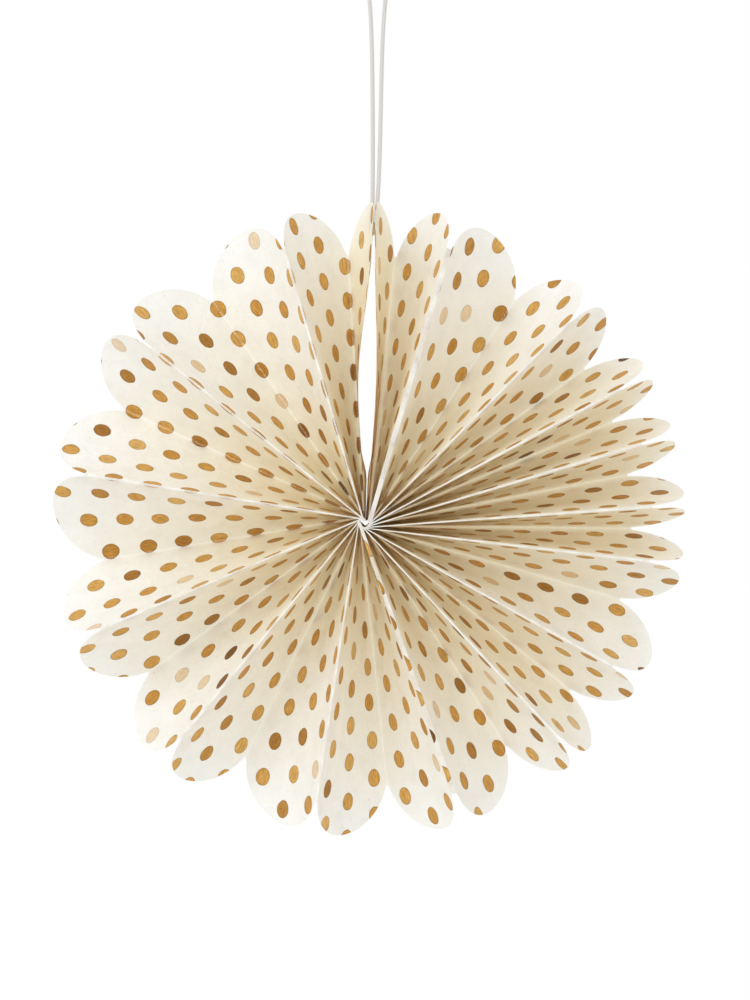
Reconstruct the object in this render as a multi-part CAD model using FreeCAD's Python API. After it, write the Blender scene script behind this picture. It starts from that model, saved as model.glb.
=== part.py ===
import FreeCAD, Part
import math
import os

from FreeCAD import Vector

# A hanging paper fan rosette. Three pleated strips of paper are glued end to end into one long strip,
# whose inner fold ends are drawn together and pasted into a hub. The two end panels meet at the top,
# where the hanging cord is glued between their tips.
# The front faces -Y, +Z is up, and the origin is on the axis of the hub, halfway through the depth.
# Azimuths are in degrees, clockwise from the top as seen from the front. Lengths are in millimetres.

# Paper and its cut outline
PAPER_THICKNESS = 0.25
ROSETTE_RADIUS = 150.0
SCALLOP_HEIGHT = 20.0
PLEAT_WIDTH = 60.0

# Folds: the flat of a fold is two papers wide plus this slack, at the hub and at the notches
FOLD_SLACK_HUB = 0.2
FOLD_SLACK_NOTCH = 0.9
HUB_CLEARANCE = 0.2
BULGE_OF_SPREAD = 0.13

# Glued joints between the strips
FLANGE_WIDTH_HUB = 2.4
FLANGE_WIDTH_NOTCH = 2.2
FLANGE_INSET = 0.4
GLUE_FILM = 0.05

# How far each panel opens round the rosette, from the slit at the top, as this fan hangs
PANEL_OPENINGS = [
    4.4, 10.7, 17.0, 11.6, 9.7, 7.2, 5.7, 6.1,
    5.9, 6.8, 4.8, 6.1, 9.4, 13.0, 9.6, 8.3,
    10.1, 13.7, 13.5, 14.5, 17.0, 13.5, 14.5, 13.0,
    13.5, 18.0, 15.0, 14.5, 16.0, 18.3, 12.7, 5.3,
]
STRIP_PANELS = {"paper_strip_short": 2, "paper_strip_right": 16, "paper_strip_left": 14}

# Slit between the two end panels
SLIT_AZIMUTH = 1.6
SLIT_OPENING = 0.6
SLIT_GAP_HUB = 2.4
SLIT_BOW_RIGHT = 2.0
SLIT_BOW_LEFT = 4.2
PINCH_START = 0.45

# Hanging cord, with its knot glued between the tips of the end panels
CORD_DIAMETER = 2.0
STRAND_GAP = 0.2
KNOT_HEIGHT = 6.4
KNOT_EDGE_CHAMFER = 0.7
KNOT_TOP_CUT = 0.8
KNOT_BELOW_TIP = 12.0
KNOT_CLEARANCE = 0.2
# Cord points from the knot's top, in the slit's frame: across, depth, up
CORD_ROUTE = [
    (-1.1, 0.0, 22.0),
    (-4.2, 0.0, 105.5),
    (-8.7, -0.3, 117.5),
    (-8.9, 0.2, 123.6),
    (-4.6, 0.3, 127.8),
    (1.4, 0.3, 127.9),
    (5.7, 0.1, 123.7),
    (5.6, -0.2, 117.6),
    (1.2, 0.0, 105.5),
    (1.8, 0.0, 26.0),
    (1.1, 0.0, 9.5),
]

# Flat facets of each panel, across the pleat and from the hub to the notches, and sides of the cord
FACETS_ACROSS = 6
FACETS_OUTWARD = 8
FACETS_ROUND_CORD = 12
STEP = 1e-4

FRONT = -1
BACK = 1
LEFT = -1
RIGHT = 1

panel_count = len(PANEL_OPENINGS)
notch_radius = ROSETTE_RADIUS - SCALLOP_HEIGHT
fold_width_hub = 2 * PAPER_THICKNESS + FOLD_SLACK_HUB
fold_width_notch = 2 * PAPER_THICKNESS + FOLD_SLACK_NOTCH
layer_shift = (PAPER_THICKNESS + GLUE_FILM) / 2
knot_width = 2 * CORD_DIAMETER + STRAND_GAP
end_panel_offset = knot_width / 2 + KNOT_CLEARANCE + PAPER_THICKNESS / 2
knot_radius = ROSETTE_RADIUS - KNOT_BELOW_TIP


def strip_ranges():
    """First and last panel of each strip, clockwise from the slit."""
    ranges = {}
    first = 0
    for name, count in STRIP_PANELS.items():
        ranges[name] = (first, first + count - 1)
        first += count
    return ranges


def seam_lines():
    """Fold lines where one strip is glued to the next."""
    ends = [last + 1 for first, last in strip_ranges().values()]
    return ends[:-1]


seams = seam_lines()


def facing(line):
    """FRONT for a mountain fold or a free edge, BACK for a valley fold."""
    return FRONT if line % 2 == 0 else BACK


def is_free_edge(line):
    return line in (0, panel_count)


def fold_widths(line):
    """Width of the flat of a fold line at the hub and at the notches."""
    if is_free_edge(line):
        return 0.0, 0.0
    if line in seams:
        return FLANGE_WIDTH_HUB, FLANGE_WIDTH_NOTCH
    return fold_width_hub, fold_width_notch


def notch_azimuths():
    """Azimuth of every fold line at the notches."""
    scale = (360.0 - SLIT_OPENING) / sum(PANEL_OPENINGS)
    azimuths = [SLIT_AZIMUTH + SLIT_OPENING / 2]
    for opening in PANEL_OPENINGS:
        azimuths.append(azimuths[-1] + opening * scale)
    return azimuths


def hub_places():
    """Radius of the hub, and the azimuth of every fold line there.

    The front folds are drawn together until a paper's thickness and a little paste is left between
    them, and each valley fold comes in the middle of that space.
    """
    space = PAPER_THICKNESS + HUB_CLEARANCE
    places = []
    place = SLIT_GAP_HUB / 2
    for line in range(panel_count + 1):
        if facing(line) == FRONT:
            width = fold_widths(line)[0]
            places.append(place + width / 2)
            place += width
        else:
            places.append(place + space / 2)
            place += space
    girth = place + SLIT_GAP_HUB / 2
    azimuths = [SLIT_AZIMUTH + 360.0 * place / girth for place in places]
    return girth / (2 * math.pi), azimuths


notch_azimuth = notch_azimuths()
hub_radius, hub_azimuth = hub_places()
fold_length = notch_radius - hub_radius
scallop_share = SCALLOP_HEIGHT / fold_length


def at_azimuth(radius, azimuth, depth=0.0):
    angle = math.radians(azimuth)
    return Vector(radius * math.sin(angle), depth, radius * math.cos(angle))


def bow(line, s):
    """Sideways bow of the two free edges, which leaves the slit open between them."""
    if not is_free_edge(line) or s >= 1:
        return Vector(0, 0, 0)
    amount = SLIT_BOW_RIGHT if line == 0 else -SLIT_BOW_LEFT
    across = at_azimuth(1.0, SLIT_AZIMUTH + 90)
    return across * (amount * math.sin(math.pi * s) ** 2)


def plan_point(line, side, s):
    """Corner of a fold seen from the front: s is 0 at the hub and 1 at the notch."""
    width_hub, width_notch = fold_widths(line)
    turn_hub = math.degrees(side * width_hub / 2 / hub_radius)
    turn_notch = math.degrees(side * width_notch / 2 / notch_radius)
    start = at_azimuth(hub_radius, hub_azimuth[line] + turn_hub)
    end = at_azimuth(notch_radius, notch_azimuth[line] + turn_notch)
    return start + (end - start) * s + bow(line, s)


def half_depth(panel, s):
    """Half the depth that a pleat of constant width spans where its folds are this far apart."""
    spread = (plan_point(panel + 1, LEFT, s) - plan_point(panel, RIGHT, s)).Length
    return math.sqrt(PLEAT_WIDTH ** 2 - spread ** 2) / 2


def fold_depth(line, s):
    beside = [panel for panel in (line - 1, line) if 0 <= panel < panel_count]
    return facing(line) * sum(half_depth(panel, s) for panel in beside) / len(beside)


def corner(line, side, s):
    """Corner of a fold on the middle of the paper. At a seam the strip before lies in front."""
    depth = fold_depth(line, s)
    if line in seams:
        depth += side * layer_shift
    return plan_point(line, side, s) + Vector(0, depth, 0)


def smooth_step(x):
    x = min(max(x, 0.0), 1.0)
    return x * x * (3 - 2 * x)


def bulge(panel, s, left, right):
    """How far a panel's middle stands behind the straight line between its folds."""
    chord = right - left
    natural = BULGE_OF_SPREAD * chord.Length * math.hypot(chord.x, chord.z) / PLEAT_WIDTH
    if panel not in (0, panel_count - 1):
        return natural
    across = at_azimuth(1.0, SLIT_AZIMUTH + 90)
    from_slit = abs(((left + right) / 2).dot(across))
    pinched = from_slit - end_panel_offset
    knot_s = (knot_radius - hub_radius) / fold_length
    share = smooth_step((s - PINCH_START) / (knot_s - PINCH_START))
    return natural + (pinched - natural) * share


def sheet_point(panel, u, s):
    """Point on the middle of the paper: u runs clockwise across the panel."""
    left = corner(panel, RIGHT, s)
    right = corner(panel + 1, LEFT, s)
    chord = right - left
    outward = (corner(panel, RIGHT, s + STEP) - left) + (corner(panel + 1, LEFT, s + STEP) - right)
    normal = outward.cross(chord).normalize()
    return left + chord * u + normal * (4 * u * (1 - u) * bulge(panel, s, left, right))


def sheet_normal(panel, u, s):
    """Unit normal of a panel, towards the back."""
    point = sheet_point(panel, u, s)
    across = sheet_point(panel, u + STEP, s) - point
    outward = sheet_point(panel, u, s + STEP) - point
    return outward.cross(across).normalize()


def flat_ends(line, layer, s):
    """Left and right end of the flat of a fold on the middle of the paper."""
    left = corner(line, LEFT, s)
    right = corner(line, RIGHT, s)
    if line in seams and layer == FRONT:
        right = right - Vector(0, 2 * layer_shift, 0)
    if line in seams and layer == BACK:
        left = left + Vector(0, 2 * layer_shift, 0)
        left = left + (right - left).normalize() * FLANGE_INSET
    return left, right


def flat_normal(line, layer, s):
    """Unit normal of the flat of a fold, towards the back."""
    left, right = flat_ends(line, layer, s)
    next_left, next_right = flat_ends(line, layer, s + STEP)
    outward = (next_left - left) + (next_right - right)
    return outward.cross(right - left).normalize()


def side_offset(panel, u, s, face):
    """From the middle of the paper to one of its faces at a panel's side, mitred with the fold."""
    line = panel if u == 0 else panel + 1
    normal = sheet_normal(panel, u, s)
    if is_free_edge(line):
        return normal * (face * PAPER_THICKNESS / 2)
    layer = BACK if u == 0 else FRONT
    flat = flat_normal(line, layer, s)
    return (normal + flat) * (face * PAPER_THICKNESS / 2 / (1 + normal.dot(flat)))


def skin_point(panel, u, s, face):
    """Point on one face of a panel, drawn in or out at its sides to meet the mitred folds."""
    half = face * PAPER_THICKNESS / 2
    point = sheet_point(panel, u, s) + sheet_normal(panel, u, s) * half
    left = side_offset(panel, 0, s, face) - sheet_normal(panel, 0, s) * half
    right = side_offset(panel, 1, s, face) - sheet_normal(panel, 1, s) * half
    return point + left * (1 - u) ** 2 + right * u ** 2


def scallop_reach(u):
    """How far out the circular scallop of a panel goes, as a share of its height."""
    half_chord = PLEAT_WIDTH / 2
    radius = (half_chord ** 2 + SCALLOP_HEIGHT ** 2) / (2 * SCALLOP_HEIGHT)
    x = (2 * u - 1) * half_chord
    return (math.sqrt(radius ** 2 - x ** 2) - (radius - SCALLOP_HEIGHT)) / SCALLOP_HEIGHT


def triangle(a, b, c):
    return Part.Face(Part.makePolygon([a, b, c, a]))


def quad(a, b, c, d):
    """Two facets that share the edge from a to c."""
    return [triangle(a, b, c), triangle(a, c, d)]


def wall(line_a, line_b):
    """Facets between two rows of points."""
    facets = []
    for i in range(len(line_a) - 1):
        facets += quad(line_a[i], line_a[i + 1], line_b[i + 1], line_b[i])
    return facets


class PanelFace:
    """Front or back of one panel: rows of points from the hub to the notches, and the scallop's rim."""

    def __init__(self, panel, face):
        self.panel = panel
        self.rows = []
        for j in range(FACETS_OUTWARD + 1):
            s = j / FACETS_OUTWARD
            row = [skin_point(panel, i / FACETS_ACROSS, s, face) for i in range(FACETS_ACROSS + 1)]
            self.rows.append(row)
        self.hub = self.rows[0]
        self.base = self.rows[-1]
        self.left = [row[0] for row in self.rows]
        self.right = [row[-1] for row in self.rows]
        self.rim = [self.base[0]]
        steps = 2 * FACETS_ACROSS
        for i in range(1, steps):
            u = i / steps
            self.rim.append(skin_point(panel, u, 1 + scallop_share * scallop_reach(u), face))
        self.rim.append(self.base[-1])

    def facets(self):
        """The diagonals run from the valley fold at the hub to the mountain fold outside."""
        facets = []
        for inner, outer in zip(self.rows[:-1], self.rows[1:]):
            for i in range(FACETS_ACROSS):
                if facing(self.panel) == FRONT:
                    facets += quad(inner[i + 1], inner[i], outer[i], outer[i + 1])
                else:
                    facets += quad(inner[i], inner[i + 1], outer[i + 1], outer[i])
        return facets + self.scallop()

    def scallop(self):
        facets = []
        for i in range(FACETS_ACROSS):
            peak = self.rim[2 * i + 1]
            facets.append(triangle(peak, self.base[i], self.base[i + 1]))
            if i > 0:
                facets.append(triangle(peak, self.rim[2 * i], self.base[i]))
            if i < FACETS_ACROSS - 1:
                facets.append(triangle(peak, self.base[i + 1], self.rim[2 * i + 2]))
        return facets


def flange_line(line, layer, face):
    """Points along the cut end of a glued flange, on one face of the paper."""
    side = 1 if layer == FRONT else 0
    points = []
    for j in range(FACETS_OUTWARD + 1):
        s = j / FACETS_OUTWARD
        end = flat_ends(line, layer, s)[side]
        points.append(end + flat_normal(line, layer, s) * (face * PAPER_THICKNESS / 2))
    return points


def strip_solid(first, last):
    """One pleated strip as a single closed solid, with a flange where it meets its neighbour."""
    facets = []
    lines = {}
    skins = {}
    for face in (FRONT, BACK):
        skins[face] = [PanelFace(panel, face) for panel in range(first, last + 1)]
        lines[face] = []
        if first in seams:
            lines[face].append(flange_line(first, BACK, face))
        for skin in skins[face]:
            facets += skin.facets()
            lines[face] += [skin.left, skin.right]
        if last + 1 in seams:
            lines[face].append(flange_line(last + 1, FRONT, face))
    for front, back in zip(skins[FRONT], skins[BACK]):
        facets += wall(front.hub, back.hub)
        facets += wall(front.rim, back.rim)
    first_flat = 0 if first in seams else 1
    for i in range(first_flat, len(lines[FRONT]) - 1, 2):
        front_left, front_right = lines[FRONT][i:i + 2]
        back_left, back_right = lines[BACK][i:i + 2]
        facets += wall(front_left, front_right)
        facets += wall(back_left, back_right)
        for end in (0, -1):
            facets += quad(front_left[end], front_right[end], back_right[end], back_left[end])
    facets += wall(lines[FRONT][0], lines[BACK][0])
    facets += wall(lines[FRONT][-1], lines[BACK][-1])
    shell = Part.makeShell(facets)
    shell.sewShape()
    solid = Part.makeSolid(shell)
    if solid.Volume < 0:
        solid.reverse()
    return solid


def in_slit(across, depth, up):
    """Point in the frame of the slit: up is along its middle, from the hub's axis."""
    return at_azimuth(up, SLIT_AZIMUTH, depth) + at_azimuth(across, SLIT_AZIMUTH + 90)


def cord_knot():
    """Knot that the two end panels press flat, with a flat top where the strands leave it."""
    radius = KNOT_HEIGHT / 2
    knot = Part.makeCylinder(radius, knot_width, Vector(-knot_width / 2, 0, 0), Vector(1, 0, 0))
    ends = [edge for edge in knot.Edges if abs(edge.BoundBox.XLength) < STEP]
    knot = knot.makeChamfer(KNOT_EDGE_CHAMFER, ends)
    above = Part.makeBox(2 * knot_width, 2 * KNOT_HEIGHT, KNOT_HEIGHT)
    above.translate(Vector(-knot_width, -KNOT_HEIGHT, radius - KNOT_TOP_CUT))
    knot = knot.cut(above)
    knot.rotate(Vector(0, 0, 0), Vector(0, 1, 0), SLIT_AZIMUTH)
    knot.translate(in_slit(0, 0, knot_radius))
    return knot


def cord_points():
    """Route of the hanging cord, from one strand's end on the knot round to the other's."""
    top = knot_radius + KNOT_HEIGHT / 2 - KNOT_TOP_CUT
    strand = (CORD_DIAMETER + STRAND_GAP) / 2
    route = [in_slit(-strand, 0, top)]
    route += [in_slit(across, depth, top + up) for across, depth, up in CORD_ROUTE]
    route.append(in_slit(strand, 0, top))
    return route


def cord_section(centre, across, up):
    """Regular polygon round a point of the cord."""
    corners = []
    for i in range(FACETS_ROUND_CORD + 1):
        angle = 2 * math.pi * i / FACETS_ROUND_CORD
        corners.append(centre + (across * math.cos(angle) + up * math.sin(angle)) * (CORD_DIAMETER / 2))
    return Part.Face(Part.makePolygon(corners))


def cord_tube(points):
    """Straight runs joined by tangent arcs, each as large as its two runs allow."""
    runs = []
    radii = []
    length = 0.0
    start = points[0]
    on = (points[1] - start).normalize()
    up = Vector(0, 1, 0).cross(on).normalize()
    for before, at, after in zip(points[:-2], points[1:-1], points[2:]):
        leaving = (after - at).normalize()
        turn = on.getAngle(leaving)
        reach = 0.45 * min((at - before).Length, (after - at).Length)
        radius = reach / math.tan(turn / 2)
        enter = at - on * reach
        centre = at + (leaving - on).normalize() * (radius / math.cos(turn / 2))
        axis = (enter - centre).cross(on)
        runs.append(cord_section(start, on.cross(up), up).extrude(enter - start))
        runs.append(cord_section(enter, on.cross(up), up).revolve(centre, axis, math.degrees(turn)))
        up = FreeCAD.Rotation(axis, math.degrees(turn)).multVec(up)
        length += (enter - start).Length + radius * turn
        radii.append(round(radius, 1))
        start = at + leaving * reach
        on = leaving
    runs.append(cord_section(start, on.cross(up), up).extrude(points[-1] - start))
    length += (points[-1] - start).Length
    tube = runs[0].multiFuse(runs[1:])
    expected = runs[0].Faces[-1].Area * length
    print("cord arc radii", radii)
    print("cord length %.1f, volume %.2f, section times length %.2f" % (length, tube.Volume, expected))
    return tube


def main():
    os.makedirs("parts", exist_ok=True)
    nodes = {}
    for name, (first, last) in strip_ranges().items():
        nodes[name] = strip_solid(first, last)
    nodes["cord_knot"] = cord_knot()
    nodes["hanging_cord"] = cord_tube(cord_points())
    for name, shape in nodes.items():
        solid, = shape.Solids
        print(name, solid.isValid(), round(solid.Volume, 2))
        solid.exportStep("parts/" + name + ".step")


main()
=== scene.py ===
"""Looks of the paper fan rosette: folded paper with printed gold dots, and the twisted hanging cord."""

import functools
import math

import bpy
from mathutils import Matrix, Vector, noise


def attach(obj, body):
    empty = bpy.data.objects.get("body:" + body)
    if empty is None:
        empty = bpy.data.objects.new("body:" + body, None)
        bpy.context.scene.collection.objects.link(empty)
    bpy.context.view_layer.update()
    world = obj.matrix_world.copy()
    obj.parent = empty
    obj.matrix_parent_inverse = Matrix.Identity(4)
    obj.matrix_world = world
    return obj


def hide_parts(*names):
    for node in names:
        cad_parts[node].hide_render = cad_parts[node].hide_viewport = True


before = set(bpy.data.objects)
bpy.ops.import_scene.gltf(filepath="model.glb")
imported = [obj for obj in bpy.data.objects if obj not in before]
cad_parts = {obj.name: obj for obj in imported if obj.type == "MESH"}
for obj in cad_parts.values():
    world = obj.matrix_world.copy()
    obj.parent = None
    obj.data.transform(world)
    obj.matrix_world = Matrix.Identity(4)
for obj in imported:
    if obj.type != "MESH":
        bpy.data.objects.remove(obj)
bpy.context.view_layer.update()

# Sizes of the folded paper in millimetres and degrees, as in the part's source
ROSETTE_RADIUS = 150.0
SCALLOP_HEIGHT = 20.0
PLEAT_WIDTH = 60.0
PAPER_THICKNESS = 0.25
BULGE_OF_SPREAD = 0.13
FLANGE_WIDTH_HUB = 2.4
FLANGE_WIDTH_NOTCH = 2.2
FLANGE_INSET = 0.4
PANEL_OPENINGS = [
    4.4, 10.7, 17.0, 11.6, 9.7, 7.2, 5.7, 6.1,
    5.9, 6.8, 4.8, 6.1, 9.4, 13.0, 9.6, 8.3,
    10.1, 13.7, 13.5, 14.5, 17.0, 13.5, 14.5, 13.0,
    13.5, 18.0, 15.0, 14.5, 16.0, 18.3, 12.7, 5.3,
]
SLIT_AZIMUTH = 1.6
SLIT_OPENING = 0.6
SLIT_GAP_HUB = 2.4
SLIT_BOW_RIGHT = 2.0
SLIT_BOW_LEFT = 4.2
PINCH_START = 0.45

# Flats of the folds at the hub and at the notches, where they are narrower than in the solids
FOLD_WIDTH_HUB = 0.7
FOLD_WIDTH_NOTCH = 1.05
# Paper and clearance between two mountain folds at the hub
HUB_SPACE = 0.45
# Half the distance between the middles of two papers that are glued
LAYER_SHIFT = 0.15
# Where the cord's knot is, and how far from its middle the end panels' paper lies
KNOT_RADIUS = 138.0
KNOT_TOP = 140.4
END_PANEL_OFFSET = 2.425

# First and last panel of each strip, and where its print starts
STRIPS = {
    "paper_strip_short": (0, 1, (7.0, 3.0)),
    "paper_strip_right": (2, 17, (3.0, 13.0)),
    "paper_strip_left": (18, 31, (31.0, 8.0)),
}

# The bunched ends of the folds reach in past the hub's edge to this radius
CENTRE_RADIUS = 0.4
# Up to this share of the way from the hub to the notches the end panels meet behind the slit
SLIT_CLOSED = 0.12
# How much nearer to the slit's middle its two free edges lie at the hub
EDGE_CLOSING = 1.1

# Mesh: rows and columns of a panel, rows of its scallop, and the step for slopes
ROWS = 40
COLUMNS = 22
SCALLOP_ROWS = 9
STEP = 1e-3

# Height of the paper's slow waves, how often they come, and how soon they start at the hub
WRINKLE = 0.35
WRINKLE_ACROSS = 2.1
WRINKLE_OUTWARD = 4.3
WRINKLE_PANEL_X = 3.7
WRINKLE_PANEL_Z = 1.9
WRINKLE_START = 3

# Rounded section of a fold: share of its width and of its rise, and the rise as a share of the width
FOLD_SECTION = ((0.0, 0.0), (0.25, 0.75), (0.5, 1.0), (0.75, 0.75), (1.0, 0.0))
FOLD_RISE = 0.12
SEAM_RISE_SHARE = 0.2

# Printed dots, in millimetres on the flat sheet
DOT_RADIUS = 4.2
DOT_COLUMNS = 20.0
DOT_SPACING = 17.8
DOT_JITTER = 1.6
DOT_WOBBLE = 0.55
DOT_EDGE_INSIDE = 0.15
DOT_EDGE_OUTSIDE = 0.2
RIM_WIDTH = 0.75
RIM_EDGE = 0.1
RIM_DARKNESS = 0.35
NO_REPEAT = 1e6

# Widths of grooves, in millimetres, between which the painted shade in the grooves turns from full to none:
# warm, then brown in the narrowest
SHADE_WARM_GROOVES = (2.0, 24.0)
SHADE_WARM_SHARE = 0.62
SHADE_DEEP_GROOVES = (0.8, 6.0)
SHADE_DEEP_SHARE = 0.85
# Distances from a mountain fold between which that painted shade sets in
RIDGE_EDGE = (0.1, 1.2)

# Noises on the flat sheet: scale, detail, roughness and distortion
WOBBLE_NOISE = (0.3, 1.0)
STROKE_NOISE = (1.0, 3.0, 0.6)
RAGGED_NOISE = (1.3, 3.0, 0.65)
MOTTLE_NOISE = (0.07, 4.0, 0.6)
FIBRE_NOISE = (0.55, 2.0, 0.5, 2.2)
RIDGE_NOISE = (0.12, 3.0)
STAIN_NOISE = (0.045, 3.0, 0.6, 0.6)
GRAIN_NOISE = (0.9, 4.0, 0.7)
CREASE_NOISE = (0.16, 3.0, 0.5, 0.8)
STROKE_STRETCH = (1.6, 0.22, 1)
FIBRE_STRETCH = (1.0, 0.35, 1)
SPECK_SCALE = 0.11

# Colours as linear red, green and blue, with opacity where a socket needs it
PAPER_DULL = (0.86, 0.86, 0.84, 1)
PAPER_CLEAN = (0.925, 0.93, 0.92, 1)
# Near-white of the band on the folds: rubbed paper, and partly a painted highlight along the fold lines
PAPER_WORN_AND_HIGHLIGHT = (0.95, 0.95, 0.95, 1)
PAPER_RIDGE = (0.66, 0.61, 0.52, 1)
PAPER_STAINED = (0.62, 0.50, 0.33, 1)
# Painted shade: warm and brown paper colours for narrow grooves
PAPER_WARM_SHADE = (0.96, 0.90, 0.66, 1)
PAPER_DEEP_SHADE = (0.60, 0.38, 0.14, 1)
# Painted shade: the warm colour the paper shows to bounced light only
PAPER_BOUNCED_SHADE = (0.985, 0.925, 0.71, 1)
FIBRE_COLOUR = (0.60, 0.47, 0.30, 1)
SPECK_COLOUR = (0.33, 0.22, 0.11, 1)
LIGHT_THROUGH_PAPER = (0.97, 0.92, 0.82, 1)
LIGHT_THROUGH_GOLD = (0.36, 0.19, 0.05, 1)
GOLD_TONES = [
    (0.0, (0.09, 0.03, 0.008)),
    (0.02, (0.36, 0.155, 0.026)),
    (0.3, (0.64, 0.325, 0.062)),
    (0.75, (0.74, 0.43, 0.115)),
    (1.0, (0.82, 0.54, 0.20)),
]
# Painted shade in the grooves between the cord's plies, then the cotton's own colour
CORD_GROOVE_SHADE = (0.40, 0.37, 0.34, 1)
CORD_COLOUR = (0.74, 0.71, 0.67, 1)

# Points of the cord from the knot's top, in the slit's frame, in millimetres: across, depth, up
CORD_ROUTE = [
    (-1.1, 0.0, 0.0),
    (-1.1, 0.0, 22.0),
    (-4.2, 0.0, 105.5),
    (-8.7, -0.3, 117.5),
    (-8.9, 0.2, 123.6),
    (-4.6, 0.3, 127.8),
    (1.4, 0.3, 127.9),
    (5.7, 0.1, 123.7),
    (5.6, -0.2, 117.6),
    (1.2, 0.0, 105.5),
    (1.8, 0.0, 26.0),
    (1.1, 0.0, 9.5),
    (1.1, 0.0, 0.0),
]
# Cord's radius in metres, and how fast its twist turns across and along it, in radians a metre
CORD_RADIUS = 0.001
TWIST_ACROSS = 1900.0
TWIST_ALONG = 2100.0
FUZZ_NOISE = (2600.0, 3.0, 0.7)

# Room, lamp and camera, in metres and watts
ROOM_COLOUR = (0.975, 0.988, 1.0, 1)
LAMP_PLACE = (-0.75, -0.95, 0.65)
LAMP_SIZE = 0.9
LAMP_POWER = 4.6
LAMP_COLOUR = (0.98, 0.99, 1.0)
CAMERA_PLACE = (0.00425, -0.73, 0.0099)
CAMERA_LENS = 55.71
CAMERA_SENSOR = 36.0
DIFFUSE_BOUNCES = 8

LEFT = -1
RIGHT = 1
FRONT = -1
BACK = 1
MIDDLE = (0.5, 0.5, 0.5)

panel_count = len(PANEL_OPENINGS)
notch_radius = ROSETTE_RADIUS - SCALLOP_HEIGHT
seams = (2, 18)


def facing(line):
    """FRONT for a mountain fold or a free edge, BACK for a valley fold."""
    return FRONT if line % 2 == 0 else BACK


def is_free_edge(line):
    return line in (0, panel_count)


def is_end_panel(panel):
    return panel in (0, panel_count - 1)


def fold_widths(line):
    """Width of a fold's flat at the hub and at the notches."""
    if is_free_edge(line):
        return 0.0, 0.0
    if line in seams:
        return FLANGE_WIDTH_HUB, FLANGE_WIDTH_NOTCH
    return FOLD_WIDTH_HUB, FOLD_WIDTH_NOTCH


def notch_azimuths():
    scale = (360.0 - SLIT_OPENING) / sum(PANEL_OPENINGS)
    azimuths = [SLIT_AZIMUTH + SLIT_OPENING / 2]
    for opening in PANEL_OPENINGS:
        azimuths.append(azimuths[-1] + opening * scale)
    return azimuths


def hub_places():
    """Radius of the hub, and the azimuth of every fold line there."""
    places = []
    place = SLIT_GAP_HUB / 2
    for line in range(panel_count + 1):
        width = fold_widths(line)[0] if facing(line) == FRONT else HUB_SPACE
        places.append(place + width / 2)
        place += width
    girth = place + SLIT_GAP_HUB / 2
    return girth / (2 * math.pi), [SLIT_AZIMUTH + 360.0 * place / girth for place in places]


notch_azimuth = notch_azimuths()
hub_radius, hub_azimuth = hub_places()
fold_length = notch_radius - hub_radius
scallop_share = SCALLOP_HEIGHT / fold_length


def at_azimuth(radius, azimuth, depth=0.0):
    angle = math.radians(azimuth)
    return Vector((radius * math.sin(angle), depth, radius * math.cos(angle)))


def in_slit(across, depth, up):
    """Point in the frame of the slit: up is along its middle, from the hub's axis."""
    return at_azimuth(up, SLIT_AZIMUTH, depth) + at_azimuth(across, SLIT_AZIMUTH + 90)


def smooth_step(x):
    x = min(max(x, 0.0), 1.0)
    return x * x * (3 - 2 * x)


def bow(line, s):
    """How a free edge leaves the straight line: away from the slit, and towards it near the hub."""
    if not is_free_edge(line) or s >= 1:
        return Vector((0, 0, 0))
    amount = SLIT_BOW_RIGHT if line == 0 else -SLIT_BOW_LEFT
    amount *= math.sin(math.pi * s) ** 2
    closing = EDGE_CLOSING * (1 - smooth_step(s / SLIT_CLOSED))
    amount += -closing if line == 0 else closing
    return at_azimuth(1.0, SLIT_AZIMUTH + 90) * amount


@functools.lru_cache(maxsize=None)
def plan_point(line, side, s):
    """Corner of a fold in the front view. The share s runs from 0 at the hub to 1 at the notches."""
    width_hub, width_notch = fold_widths(line)
    turn_hub = math.degrees(side * width_hub / 2 / hub_radius)
    turn_notch = math.degrees(side * width_notch / 2 / notch_radius)
    start = at_azimuth(hub_radius, hub_azimuth[line] + turn_hub)
    end = at_azimuth(notch_radius, notch_azimuth[line] + turn_notch)
    return start + (end - start) * s + bow(line, s)


@functools.lru_cache(maxsize=None)
def half_depth(panel, s):
    """Half the depth of a pleat, from its width and from how far it opens."""
    spread = (plan_point(panel + 1, LEFT, s) - plan_point(panel, RIGHT, s)).length
    return math.sqrt(PLEAT_WIDTH ** 2 - spread ** 2) / 2


@functools.lru_cache(maxsize=None)
def corner(line, side, s):
    """Corner of a fold on the middle of the paper. At a seam the strip before lies in front."""
    beside = [panel for panel in (line - 1, line) if 0 <= panel < panel_count]
    depth = facing(line) * sum(half_depth(panel, s) for panel in beside) / len(beside)
    if line in seams:
        depth += side * LAYER_SHIFT
    return plan_point(line, side, s) + Vector((0, depth, 0))


def bulge(panel, s, left, right):
    """How far a panel's middle stands behind the straight line between its folds."""
    spread = math.hypot(right.x - left.x, right.z - left.z)
    natural = BULGE_OF_SPREAD * (right - left).length * spread / PLEAT_WIDTH
    if not is_end_panel(panel):
        return natural
    from_slit = abs(((left + right) / 2).dot(at_azimuth(1.0, SLIT_AZIMUTH + 90)))
    knot_s = (KNOT_RADIUS - hub_radius) / fold_length
    share = smooth_step((s - PINCH_START) / (knot_s - PINCH_START))
    closed = 1 - smooth_step((s - SLIT_CLOSED) / SLIT_CLOSED)
    natural += (from_slit - PAPER_THICKNESS - natural) * closed
    return natural + (from_slit - END_PANEL_OFFSET - natural) * share


@functools.lru_cache(maxsize=None)
def panel_frame(panel, s):
    """Left corner, chord, normal and bulge of a panel at one distance from the hub."""
    left = corner(panel, RIGHT, s)
    right = corner(panel + 1, LEFT, s)
    outward = (corner(panel, RIGHT, s + STEP) - left) + (corner(panel + 1, LEFT, s + STEP) - right)
    normal = outward.cross(right - left).normalized()
    return left, right - left, normal, bulge(panel, s, left, right)


def groove_width(panel, s):
    """How far apart the folds of a panel are in the front view."""
    chord = panel_frame(panel, s)[1]
    return math.hypot(chord.x, chord.z)


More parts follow.
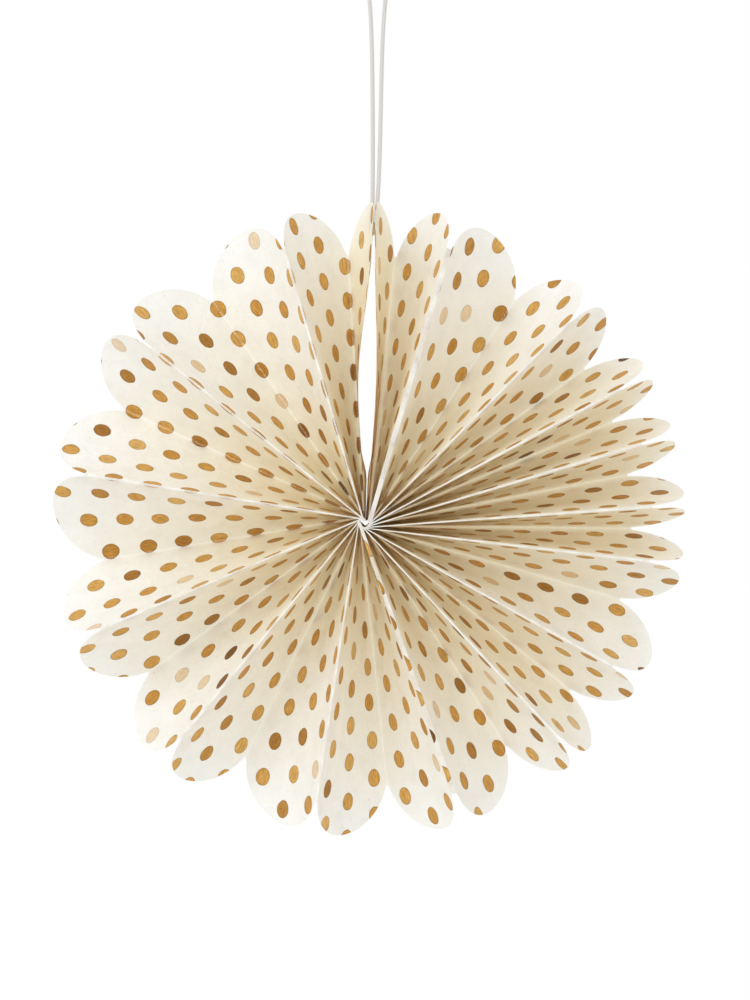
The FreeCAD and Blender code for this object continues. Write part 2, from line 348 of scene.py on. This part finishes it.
def sheet_point(panel, u, s):
    """Point of a panel's curved paper, at the share u across it and s from the hub."""
    left, chord, normal, amount = panel_frame(panel, s)
    crown = 4 * u * (1 - u)
    if not is_end_panel(panel):
        place = (u * WRINKLE_ACROSS + panel * WRINKLE_PANEL_X, s * WRINKLE_OUTWARD, panel * WRINKLE_PANEL_Z)
        amount += WRINKLE * noise.noise(Vector(place)) * min(max(s, 0) * WRINKLE_START, 1)
    return left + chord * u + normal * (crown * amount)


def flat_ends(line, layer, s):
    """Left and right end of the flat of a fold on the middle of the paper."""
    left = corner(line, LEFT, s)
    right = corner(line, RIGHT, s)
    if line in seams and layer == FRONT:
        right = right - Vector((0, 2 * LAYER_SHIFT, 0))
    if line in seams and layer == BACK:
        left = left + Vector((0, 2 * LAYER_SHIFT, 0))
        left = left + (right - left).normalized() * FLANGE_INSET
    return left, right


def scallop_reach(u):
    """How far a scallop reaches at the share u across its panel, as a share of its height."""
    half_chord = PLEAT_WIDTH / 2
    radius = (half_chord ** 2 + SCALLOP_HEIGHT ** 2) / (2 * SCALLOP_HEIGHT)
    x = (2 * u - 1) * half_chord
    return (math.sqrt(radius ** 2 - x ** 2) - (radius - SCALLOP_HEIGHT)) / SCALLOP_HEIGHT


inner = (CENTRE_RADIUS - hub_radius) / fold_length
row_places = [inner + (1 - inner) * j / ROWS for j in range(ROWS + 1)]


class Sheet:
    """Grids of points with their place on the flat printed sheet and their distance from the folds."""

    def __init__(self):
        self.points = []
        self.faces = []
        self.flat = []
        self.folds = []

    def grid(self, rows):
        """Adds rows of points and the faces between them. Corners at one place are kept once."""
        first = len(self.points)
        width = len(rows[0])
        for row in rows:
            for point, flat, folds in row:
                self.points.append(point / 1000)
                self.flat += flat
                self.folds += folds
        for j in range(len(rows) - 1):
            for i in range(width - 1):
                a = first + j * width + i
                places = []
                kept = []
                for index in (a, a + 1, a + 1 + width, a + width):
                    place = tuple(round(value, 7) for value in self.points[index])
                    if place not in places:
                        places.append(place)
                        kept.append(index)
                if len(kept) > 2:
                    self.faces.append(kept)

    def make(self, name):
        mesh = bpy.data.meshes.new(name)
        mesh.from_pydata(self.points, [], self.faces)
        mesh.polygons.foreach_set("use_smooth", [True] * len(mesh.polygons))
        for attribute, values in (("flat", self.flat), ("folds", self.folds)):
            layer = mesh.attributes.new(name=attribute, type="FLOAT_VECTOR", domain="POINT")
            layer.data.foreach_set("vector", values)
        mesh.update()
        thing = bpy.data.objects.new(name, mesh)
        bpy.context.scene.collection.objects.link(thing)
        return thing


def fold_distances(panel, u):
    """Distance from the mountain fold and from the valley fold beside a panel, and 0 for no seam."""
    mountain = u if facing(panel) == FRONT else 1 - u
    mountain_line = panel if facing(panel) == FRONT else panel + 1
    away = PLEAT_WIDTH if is_free_edge(mountain_line) else mountain * PLEAT_WIDTH
    return [away, (1 - mountain) * PLEAT_WIDTH, 0.0]


def sheet_vertex(panel, u, s, x_start):
    """Point of a panel, its place on the flat sheet with its groove's width, and its fold distances."""
    flat = [x_start + u * PLEAT_WIDTH, hub_radius + s * fold_length, groove_width(panel, s)]
    return sheet_point(panel, u, s), flat, fold_distances(panel, u)


def panel_rows(panel, x_start):
    """Rows of a panel from the hub to the notches, and on to its scallop's edge."""
    columns = [i / COLUMNS for i in range(COLUMNS + 1)]
    rows = []
    for s in row_places:
        rows.append([sheet_vertex(panel, u, s, x_start) for u in columns])
    for j in range(1, SCALLOP_ROWS + 1):
        row = []
        for u in columns:
            s = 1 + scallop_share * scallop_reach(u) * j / SCALLOP_ROWS
            row.append(sheet_vertex(panel, u, s, x_start))
        rows.append(row)
    return rows


def fold_rows(line, layer, x_start):
    """Rows of a fold's rounded flat, or of one of the two flanges of a seam."""
    width = sum(fold_widths(line)) / 2
    folds = [PLEAT_WIDTH, 0.0, 0.0]
    if facing(line) == FRONT:
        folds = [0.0, PLEAT_WIDTH, float(line in seams)]
    rows = []
    for s in row_places:
        left, right = flat_ends(line, layer, s)
        crown = Vector((0, facing(line) * FOLD_RISE * (right - left).length, 0))
        if line in seams:
            crown = crown * SEAM_RISE_SHARE
        groove = groove_width(max(line - 1, 0), s)
        row = []
        for share, rise in FOLD_SECTION:
            flat = [x_start + share * width, hub_radius + s * fold_length, groove]
            row.append((left + (right - left) * share + crown * rise, flat, folds))
        rows.append(row)
    return rows


def make_strip(name):
    first, last, (x_shift, y_shift) = STRIPS[name]
    sheet = Sheet()
    pitch = PLEAT_WIDTH + (FOLD_WIDTH_HUB + FOLD_WIDTH_NOTCH) / 2
    if first in seams:
        sheet.grid(fold_rows(first, BACK, -sum(fold_widths(first)) / 2))
    for panel in range(first, last + 1):
        x_start = (panel - first) * pitch
        sheet.grid(panel_rows(panel, x_start))
        if panel < last or panel + 1 in seams:
            sheet.grid(fold_rows(panel + 1, FRONT, x_start + PLEAT_WIDTH))
    for i in range(0, len(sheet.flat), 3):
        sheet.flat[i] += x_shift
        sheet.flat[i + 1] += y_shift
    return sheet.make(name + "_paper")


class Shader:
    """Short names for the shader nodes that the materials use."""

    def __init__(self, name):
        self.material = bpy.data.materials.new(name)
        self.material.use_nodes = True
        self.nodes = self.material.node_tree.nodes
        self.links = self.material.node_tree.links
        self.nodes.clear()

    def node(self, kind, **settings):
        made = self.nodes.new(kind)
        for key, value in settings.items():
            setattr(made, key, value)
        return made

    def feed(self, socket, value):
        """Gives a socket a value, or a link where the value is another node's output."""
        if isinstance(value, bpy.types.NodeSocket):
            self.links.new(value, socket)
        else:
            socket.default_value = value

    def math(self, operation, a, b=0.0):
        made = self.node("ShaderNodeMath", operation=operation)
        self.feed(made.inputs[0], a)
        self.feed(made.inputs[1], b)
        return made.outputs[0]

    def vector(self, operation, a, b=(0, 0, 0)):
        made = self.node("ShaderNodeVectorMath", operation=operation)
        self.feed(made.inputs[0], a)
        self.feed(made.inputs[1], b)
        return made.outputs["Value" if operation == "LENGTH" else "Vector"]

    def attribute(self, name):
        return self.node("ShaderNodeAttribute", attribute_name=name).outputs["Vector"]

    def parts(self, value):
        """The X, Y and Z of a vector."""
        made = self.node("ShaderNodeSeparateXYZ")
        self.feed(made.inputs[0], value)
        return made.outputs

    def noise(self, place, scale, detail=2.0, roughness=0.5, distortion=0.0):
        made = self.node("ShaderNodeTexNoise")
        self.feed(made.inputs["Vector"], place)
        self.feed(made.inputs["Scale"], scale)
        self.feed(made.inputs["Detail"], detail)
        self.feed(made.inputs["Roughness"], roughness)
        self.feed(made.inputs["Distortion"], distortion)
        return made.outputs

    def random(self, place):
        made = self.node("ShaderNodeTexWhiteNoise", noise_dimensions="3D")
        self.feed(made.inputs["Vector"], place)
        return made.outputs

    def ramp(self, value, from_min, from_max, to_min=0.0, to_max=1.0):
        made = self.node("ShaderNodeMapRange", interpolation_type="SMOOTHSTEP")
        for socket, given in zip(made.inputs, (value, from_min, from_max, to_min, to_max)):
            self.feed(socket, given)
        return made.outputs[0]

    def mix(self, share, a, b):
        made = self.node("ShaderNodeMix", data_type="RGBA")
        self.feed(made.inputs[0], share)
        self.feed(made.inputs[6], a)
        self.feed(made.inputs[7], b)
        return made.outputs[2]

    def mix_value(self, share, a, b):
        made = self.node("ShaderNodeMix", data_type="FLOAT")
        self.feed(made.inputs[0], share)
        self.feed(made.inputs[2], a)
        self.feed(made.inputs[3], b)
        return made.outputs[0]

    def tint(self, colour, amount):
        """Colour times a value."""
        made = self.node("ShaderNodeVectorMath", operation="SCALE")
        self.feed(made.inputs[0], colour)
        self.feed(made.inputs["Scale"], amount)
        return made.outputs["Vector"]

    def colours(self, value, stops):
        made = self.node("ShaderNodeValToRGB")
        elements = made.color_ramp.elements
        elements[0].position, elements[0].color = stops[0][0], (*stops[0][1], 1)
        elements[1].position, elements[1].color = stops[-1][0], (*stops[-1][1], 1)
        for position, colour in stops[1:-1]:
            elements.new(position).color = (*colour, 1)
        self.feed(made.inputs[0], value)
        return made.outputs[0]

    def bump(self, height, strength, distance):
        made = self.node("ShaderNodeBump")
        self.feed(made.inputs["Height"], height)
        self.feed(made.inputs["Strength"], strength)
        self.feed(made.inputs["Distance"], distance)
        return made.outputs[0]

    def finish(self, shader):
        output = self.node("ShaderNodeOutputMaterial")
        self.links.new(shader, output.inputs["Surface"])
        return self.material


def dot_lattice(shader, place, shift):
    """Distance from the nearest dot's centre and that dot's random value, for one half of the pattern."""
    cell_size = (2 * DOT_COLUMNS, DOT_SPACING, NO_REPEAT)
    scaled = shader.vector("DIVIDE", shader.vector("ADD", place, shift), cell_size)
    cell = shader.vector("FLOOR", shader.vector("ADD", scaled, MIDDLE))
    chance = shader.random(shader.vector("ADD", cell, shift))
    jitter = shader.vector("SUBTRACT", chance["Color"], MIDDLE)
    jitter = shader.vector("MULTIPLY", jitter, (DOT_JITTER, DOT_JITTER, 0))
    local = shader.vector("MULTIPLY", shader.vector("SUBTRACT", scaled, cell), cell_size)
    local = shader.vector("MULTIPLY", shader.vector("ADD", local, jitter), (1, 1, 0))
    return shader.vector("LENGTH", local), chance["Value"]


def nearest_dot(shader, sheet):
    """Distance from the centre of the nearest printed dot, and that dot's random value."""
    wobble = shader.vector("SUBTRACT", shader.noise(sheet, *WOBBLE_NOISE)["Color"], MIDDLE)
    wobble = shader.vector("MULTIPLY", wobble, (DOT_WOBBLE, DOT_WOBBLE, 0))
    place = shader.vector("ADD", sheet, wobble)
    distance_a, chance_a = dot_lattice(shader, place, (0.0, 0.0, 0.0))
    distance_b, chance_b = dot_lattice(shader, place, (DOT_COLUMNS, DOT_SPACING / 2, 0.0))
    nearer_b = shader.math("LESS_THAN", distance_b, distance_a)
    distance = shader.math("MINIMUM", distance_a, distance_b)
    return distance, shader.mix_value(nearer_b, chance_a, chance_b)


def gold_colour(shader, sheet, distance, chance):
    """Gold ink: a tone for each dot, brush strokes along the sheet, and a darker rim."""
    gold = shader.colours(chance, GOLD_TONES)
    strokes = shader.noise(shader.vector("MULTIPLY", sheet, STROKE_STRETCH), *STROKE_NOISE)["Fac"]
    gold = shader.tint(gold, shader.ramp(strokes, 0.3, 0.7, 0.68, 1.32))
    rim = shader.ramp(distance, DOT_RADIUS - RIM_WIDTH, DOT_RADIUS - RIM_EDGE)
    return shader.tint(gold, shader.math("SUBTRACT", 1.0, shader.math("MULTIPLY", rim, RIM_DARKNESS)))


def worn_and_highlit_folds(shader, ragged, mountain, valley, seam):
    """Where the print is rubbed off, and the paper whitened as a painted highlight: in a ragged band on the
    folds, but not on the seams.
    """
    near_fold = shader.math("MINIMUM", mountain, shader.math("ADD", valley, 0.38))
    band = shader.math("ADD", near_fold, shader.math("MULTIPLY", ragged, 1.1))
    worn = shader.ramp(band, 0.45, 1.05, 1.0, 0.0)
    return shader.math("MULTIPLY", worn, shader.math("SUBTRACT", 1.0, seam))


def dot_cover(shader, distance, chance, ragged, worn):
    """Share of gold over the paper: whole in a dot, less where it is worn, patchy or a faint dot."""
    inside = DOT_RADIUS - DOT_EDGE_INSIDE
    dot = shader.ramp(distance, inside, DOT_RADIUS + DOT_EDGE_OUTSIDE, 1.0, 0.0)
    patchy = shader.ramp(ragged, 0.62, 0.72, 0.0, 0.35)
    dot = shader.math("MULTIPLY", dot, shader.math("SUBTRACT", 1.0, worn))
    dot = shader.math("MULTIPLY", dot, shader.math("SUBTRACT", 1.0, patchy))
    return shader.math("MULTIPLY", dot, shader.ramp(chance, 0.95, 0.96, 1.0, 0.6))


def bare_paper(shader, sheet, mountain, worn):
    """Mottled paper with fibres and specks, white in the rubbed band on the folds, partly wear and partly a
    painted highlight, and dusky along the ridges.
    """
    mottle = shader.noise(sheet, *MOTTLE_NOISE)["Fac"]
    paper = shader.mix(shader.ramp(mottle, 0.3, 0.7), PAPER_DULL, PAPER_CLEAN)
    fibre = shader.noise(shader.vector("MULTIPLY", sheet, FIBRE_STRETCH), *FIBRE_NOISE)["Fac"]
    fibre = shader.math("ABSOLUTE", shader.math("SUBTRACT", fibre, 0.5))
    fibre = shader.ramp(fibre, 0.0, 0.012, 1.0, 0.0)
    fibre = shader.math("MULTIPLY", fibre, shader.ramp(mottle, 0.45, 0.6, 0.0, 0.4))
    paper = shader.mix(fibre, paper, FIBRE_COLOUR)
    specks = shader.node("ShaderNodeTexVoronoi")
    shader.feed(specks.inputs["Vector"], sheet)
    shader.feed(specks.inputs["Scale"], SPECK_SCALE)
    speck = shader.ramp(specks.outputs["Distance"], 0.02, 0.05, 0.55, 0.0)
    paper = shader.mix(speck, paper, SPECK_COLOUR)
    # The band on the folds whitened: partly wear, partly a painted highlight along the fold lines
    paper = shader.mix(shader.math("MULTIPLY", worn, 0.6), paper, PAPER_WORN_AND_HIGHLIGHT)
    ridge = shader.ramp(mountain, 0.0, 0.3, 0.55, 0.0)
    patches = shader.ramp(shader.noise(sheet, *RIDGE_NOISE)["Fac"], 0.35, 0.65)
    return shader.mix(shader.math("MULTIPLY", ridge, patches), paper, PAPER_RIDGE)


def stains_and_painted_shade(shader, sheet, paper, mountain, outward, groove):
    """Stains that thin outward, and painted shade: paper that is warmer and then brown where its groove is
    narrow, and warmer for bounced light.
    """
    stain = shader.ramp(shader.noise(sheet, *STAIN_NOISE)["Fac"], 0.54, 0.70)
    stain = shader.math("MULTIPLY", stain, shader.ramp(outward, 15.0, 110.0, 0.38, 0.10))
    paper = shader.mix(stain, paper, PAPER_STAINED)
    off_ridge = shader.ramp(mountain, *RIDGE_EDGE)
    # Painted shade: the paper turns warmer where its groove is narrow, away from the ridges
    warm_shade = shader.math("MULTIPLY", shader.ramp(groove, *SHADE_WARM_GROOVES, SHADE_WARM_SHARE, 0.0), off_ridge)
    paper = shader.mix(warm_shade, paper, PAPER_WARM_SHADE)
    # Painted shade: the paper turns brown in the narrowest grooves, near the hub
    deep_shade = shader.math("MULTIPLY", shader.ramp(groove, *SHADE_DEEP_GROOVES, SHADE_DEEP_SHARE, 0.0), off_ridge)
    paper = shader.mix(deep_shade, paper, PAPER_DEEP_SHADE)
    # Painted shade: to bounced light the paper shows a warmer colour, which warms the shade in the creases
    bounced = shader.node("ShaderNodeLightPath").outputs["Is Diffuse Ray"]
    return shader.mix(bounced, paper, PAPER_BOUNCED_SHADE)


def paper_relief(shader, sheet):
    """Normal of the paper's grain and soft creases."""
    grain = shader.noise(sheet, *GRAIN_NOISE)["Fac"]
    creases = shader.noise(sheet, *CREASE_NOISE)["Fac"]
    height = shader.math("ADD", shader.math("MULTIPLY", grain, 0.25), creases)
    return shader.bump(height, 0.6, 0.0013)


def paper_material():
    """Printed paper that lets some light through."""
    shader = Shader("printed_ivory_paper")
    flat = shader.attribute("flat")
    sheet = shader.vector("MULTIPLY", flat, (1, 1, 0))
    flat_parts = shader.parts(flat)
    mountain, valley, seam = shader.parts(shader.attribute("folds"))
    ragged = shader.noise(sheet, *RAGGED_NOISE)["Fac"]
    worn = worn_and_highlit_folds(shader, ragged, mountain, valley, seam)

    distance, chance = nearest_dot(shader, sheet)
    gold = gold_colour(shader, sheet, distance, chance)
    dot = dot_cover(shader, distance, chance, ragged, worn)
    paper = bare_paper(shader, sheet, mountain, worn)
    paper = stains_and_painted_shade(shader, sheet, paper, mountain, flat_parts["Y"], flat_parts["Z"])
    normal = paper_relief(shader, sheet)

    surface = shader.node("ShaderNodeBsdfPrincipled")
    shader.feed(surface.inputs["Base Color"], shader.mix(dot, paper, gold))
    shader.feed(surface.inputs["Roughness"], shader.mix_value(dot, 0.85, 0.5))
    shader.feed(surface.inputs["Metallic"], shader.mix_value(dot, 0.0, 0.25))
    shader.feed(surface.inputs["Specular IOR Level"], 0.2)
    shader.feed(surface.inputs["Normal"], normal)
    through = shader.node("ShaderNodeBsdfTranslucent")
    shader.feed(through.inputs["Color"], shader.mix(dot, LIGHT_THROUGH_PAPER, LIGHT_THROUGH_GOLD))
    shader.feed(through.inputs["Normal"], normal)
    both = shader.node("ShaderNodeMixShader")
    shader.feed(both.inputs[0], 0.24)
    shader.links.new(surface.outputs[0], both.inputs[1])
    shader.links.new(through.outputs[0], both.inputs[2])
    return shader.finish(both.outputs[0])


def cord_material():
    """Off-white cotton, with the slanting grooves between its two plies, painted darker as shade."""
    shader = Shader("twisted_cotton")
    place = shader.node("ShaderNodeTexCoord").outputs["Object"]
    place_parts = shader.parts(place)
    across = shader.math("MULTIPLY", place_parts["X"], TWIST_ACROSS)
    along = shader.math("MULTIPLY", place_parts["Z"], TWIST_ALONG)
    ply = shader.math("ABSOLUTE", shader.math("SINE", shader.math("ADD", across, along)))
    fuzz = shader.noise(place, *FUZZ_NOISE)["Fac"]
    height = shader.math("ADD", ply, shader.math("MULTIPLY", fuzz, 0.3))
    surface = shader.node("ShaderNodeBsdfPrincipled")
    # Painted shade: the grooves between the plies are darker
    colour = shader.mix(shader.ramp(ply, 0.0, 0.45), CORD_GROOVE_SHADE, CORD_COLOUR)
    shader.feed(surface.inputs["Base Color"], colour)
    shader.feed(surface.inputs["Roughness"], 0.92)
    shader.feed(surface.inputs["Specular IOR Level"], 0.15)
    shader.feed(surface.inputs["Normal"], shader.bump(height, 0.7, 0.0004))
    return shader.finish(surface.outputs[0])


def make_cord():
    curve = bpy.data.curves.new("cotton_cord", "CURVE")
    curve.dimensions = "3D"
    curve.resolution_u = 24
    curve.bevel_depth = CORD_RADIUS
    curve.bevel_resolution = 5
    curve.use_fill_caps = True
    spline = curve.splines.new("NURBS")
    spline.points.add(len(CORD_ROUTE) - 1)
    for point, (across, depth, up) in zip(spline.points, CORD_ROUTE):
        point.co = (*(in_slit(across, depth, KNOT_TOP + up) / 1000), 1)
    spline.order_u = 3
    spline.use_endpoint_u = True
    cord = bpy.data.objects.new("cotton_cord", curve)
    bpy.context.scene.collection.objects.link(cord)
    return cord


def make_world():
    """White to the camera, and a soft white room for everything else."""
    world = bpy.data.worlds.new("white_room")
    bpy.context.scene.world = world
    world.use_nodes = True
    nodes = world.node_tree.nodes
    links = world.node_tree.links
    nodes.clear()
    path = nodes.new("ShaderNodeLightPath")
    room = nodes.new("ShaderNodeBackground")
    room.inputs["Color"].default_value = ROOM_COLOUR
    room.inputs["Strength"].default_value = 1.0
    seen = nodes.new("ShaderNodeBackground")
    seen.inputs["Color"].default_value = (1, 1, 1, 1)
    seen.inputs["Strength"].default_value = 1.0
    mix = nodes.new("ShaderNodeMixShader")
    output = nodes.new("ShaderNodeOutputWorld")
    links.new(path.outputs["Is Camera Ray"], mix.inputs[0])
    links.new(room.outputs[0], mix.inputs[1])
    links.new(seen.outputs[0], mix.inputs[2])
    links.new(mix.outputs[0], output.inputs["Surface"])


def make_lamp():
    """Soft key lamp in front, high on the left, aimed at the hub."""
    lamp = bpy.data.lights.new("key", "AREA")
    lamp.shape = "SQUARE"
    lamp.size = LAMP_SIZE
    lamp.energy = LAMP_POWER
    lamp.color = LAMP_COLOUR
    holder = bpy.data.objects.new("key", lamp)
    holder.location = LAMP_PLACE
    holder.rotation_euler = (-Vector(LAMP_PLACE)).to_track_quat("-Z", "Y").to_euler()
    bpy.context.scene.collection.objects.link(holder)


def make_camera():
    camera = bpy.data.cameras.new("camera")
    camera.sensor_width = CAMERA_SENSOR
    camera.lens = CAMERA_LENS
    holder = bpy.data.objects.new("camera", camera)
    holder.location = CAMERA_PLACE
    holder.rotation_euler = (math.pi / 2, 0, 0)
    bpy.context.scene.collection.objects.link(holder)
    bpy.context.scene.camera = holder


paper = paper_material()
for node in STRIPS:
    strip = make_strip(node)
    strip.data.materials.append(paper)
    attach(strip, "root")
    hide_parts(node)

cotton = cord_material()
cord = make_cord()
cord.data.materials.append(cotton)
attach(cord, "root")
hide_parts("hanging_cord")
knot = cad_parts["cord_knot"]
knot.data.materials.clear()
knot.data.materials.append(cotton)

make_world()
make_lamp()
make_camera()
bpy.context.scene.cycles.diffuse_bounces = DIFFUSE_BOUNCES
bpy.context.scene.view_settings.view_transform = "Standard"
